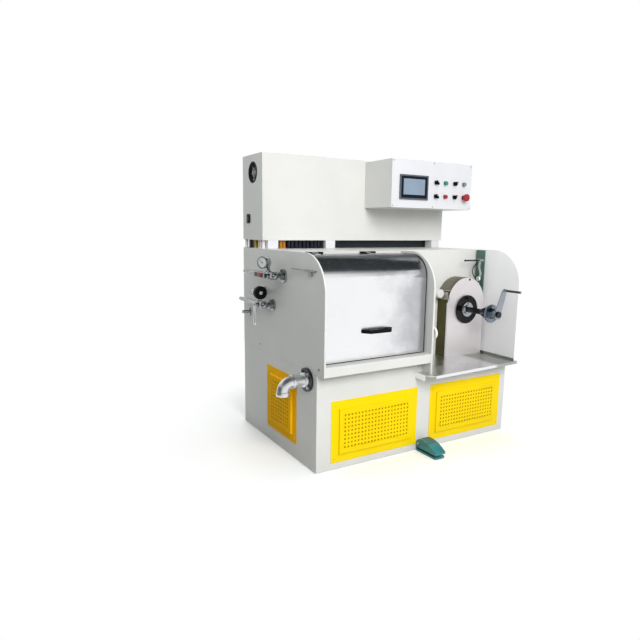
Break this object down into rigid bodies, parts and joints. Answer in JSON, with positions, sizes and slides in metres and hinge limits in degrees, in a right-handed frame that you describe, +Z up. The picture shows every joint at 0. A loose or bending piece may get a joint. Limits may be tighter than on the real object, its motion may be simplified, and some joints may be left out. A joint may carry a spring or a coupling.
{
  "type": "wire drawing machine",
  "caption": "Fine wire drawing machine with a covered drawing chamber, a spindle take-up bay, vented base, electrical cabinet and hanging control box.",
  "frame": {"origin": "centre of the base's underside, on the floor", "axes": "+Z up, -Y towards the operator's front, +X to the operator's right"},
  "size_m": [1.361, 0.9747, 1.465],
  "materials": {
    "cream_paint": "satin powder coat, warm light grey",
    "white_paint": "satin white paint",
    "yellow_paint": "satin yellow powder coat",
    "olive_paint": "satin olive machine paint",
    "green_paint": "semi-gloss dark green paint",
    "teal_paint": "hammered teal paint",
    "black_paint": "gloss black paint",
    "brushed_stainless": "brushed stainless sheet",
    "polished_steel": "bright turned and plated steel",
    "dark_steel": "oiled dark steel",
    "galvanised_steel": "galvanised pipe",
    "black_plastic": "matt black plastic",
    "white_plastic": "white nylon",
    "red_plastic": "gloss red plastic",
    "green_plastic": "gloss green plastic",
    "grey_plastic": "satin grey plastic",
    "screen_glass": "black-bordered touch screen glass",
    "screen_film": "display area of the touch screen",
    "red_rubber": "red dipped vinyl grip"
  },
  "bodies": {
    "machine": {"base_cabinet": "cream_paint", "front_left_vent": "yellow_paint", "front_right_vent": "yellow_paint", "side_vent": "yellow_paint", "left_side_plate": "cream_paint", "gearbox_body": "cream_paint", "divider_plate": "cream_paint", "guard_plate": "cream_paint", "chamber_trough": "cream_paint", "drawing_cones": "polished_steel", "die_holder": "dark_steel", "roof_hinges": "dark_steel", "takeup_shelf": "brushed_stainless", "spindle_housing": "brushed_stainless", "spindle_pedestal": "olive_paint", "traverse_bracket": "green_paint", "guide_rod": "dark_steel", "electrical_cabinet": "cream_paint", "cabinet_feet": "white_paint", "cable_trunk": "black_plastic", "fan_housing": "black_plastic", "cabinet_lock": "black_plastic", "control_box": "cream_paint", "control_panel": "white_paint", "screen_frame": "grey_plastic", "touch_screen": "screen_glass", "button_collars": "polished_steel", "selector_knobs": "black_plastic", "green_button": "green_plastic", "red_button": "red_plastic", "grey_button": "grey_plastic", "emergency_stop": "red_plastic", "wire_inlet_guide": "galvanised_steel", "drain_elbow": "galvanised_steel", "coolant_pipes": "polished_steel", "pressure_gauge": "polished_steel", "foot_switch_base": "teal_paint"},
    "cover": {"chamber_cover": "brushed_stainless", "cover_handle": "black_plastic"},
    "spindle": {"spindle_shaft": "dark_steel", "spindle_flange": "black_paint", "spindle_hub": "polished_steel"},
    "clamping_cone": {"spool_cone": "polished_steel"},
    "crank": {"clamp_crank": "polished_steel"},
    "wire_wheel": {"guide_wheel": "white_plastic"},
    "traverse_arm": {"guide_arm": "polished_steel", "guide_roller": "white_plastic"},
    "fan": {"fan_rotor": "black_plastic"},
    "upper_lever": {"upper_valve_lever": "red_rubber"},
    "lower_lever": {"lower_valve_lever": "polished_steel"},
    "handwheel": {"valve_handwheel": "black_plastic"},
    "pedal": {"foot_pedal": "teal_paint"}
  },
  "joints": [
    {"name": "cover_lift", "type": "hinge", "parent": "machine", "child": "cover", "pos_m": [-0.295, -0.213, 0.982], "axis": [-1, 0, 0], "range_deg": [0, 85]},
    {"name": "spindle_spin", "type": "hinge", "parent": "machine", "child": "spindle", "pos_m": [0.443, -0.306, 0.665], "axis": [0, 1, 0], "continuous": true},
    {"name": "cone_slide", "type": "slide", "parent": "spindle", "child": "clamping_cone", "axis": [0, 1, 0], "range_m": [0, 0.03]},
    {"name": "crank_turn", "type": "hinge", "parent": "spindle", "child": "crank", "pos_m": [0.443, -0.466, 0.665], "axis": [0, 1, 0], "range_deg": [0, 2160]},
    {"name": "wire_wheel_spin", "type": "hinge", "parent": "machine", "child": "wire_wheel", "pos_m": [0.027, -0.439, 0.6], "axis": [1, 0, 0], "continuous": true},
    {"name": "traverse_arm_swing", "type": "hinge", "parent": "machine", "child": "traverse_arm", "pos_m": [0.56, -0.215, 0.93], "axis": [1, 0, 0], "range_deg": [-20, 20]},
    {"name": "fan_spin", "type": "hinge", "parent": "machine", "child": "fan", "pos_m": [-0.58, 0.274, 1.375], "axis": [1, 0, 0], "continuous": true},
    {"name": "upper_valve_turn", "type": "hinge", "parent": "machine", "child": "upper_lever", "pos_m": [-0.68, -0.044, 0.869], "axis": [-1, 0, 0], "range_deg": [0, 90]},
    {"name": "lower_valve_turn", "type": "hinge", "parent": "machine", "child": "lower_lever", "pos_m": [-0.68, 0.079, 0.716], "axis": [1, 0, 0], "range_deg": [0, 90]},
    {"name": "handwheel_turn", "type": "hinge", "parent": "machine", "child": "handwheel", "pos_m": [-0.651, 0.074, 0.774], "axis": [0, 1, 0], "range_deg": [0, 720]},
    {"name": "pedal_press", "type": "hinge", "parent": "machine", "child": "pedal", "pos_m": [0.01, -0.424, 0.04], "axis": [1, 0, 0], "range_deg": [0, 2.5], "stiffness_Nm_per_rad": 20, "springref_deg": -5.73}
  ],
  "couplings": [
    {"joint": "cone_slide", "follows": "crank_turn", "m_per_rad": 0.00079577}
  ]
}
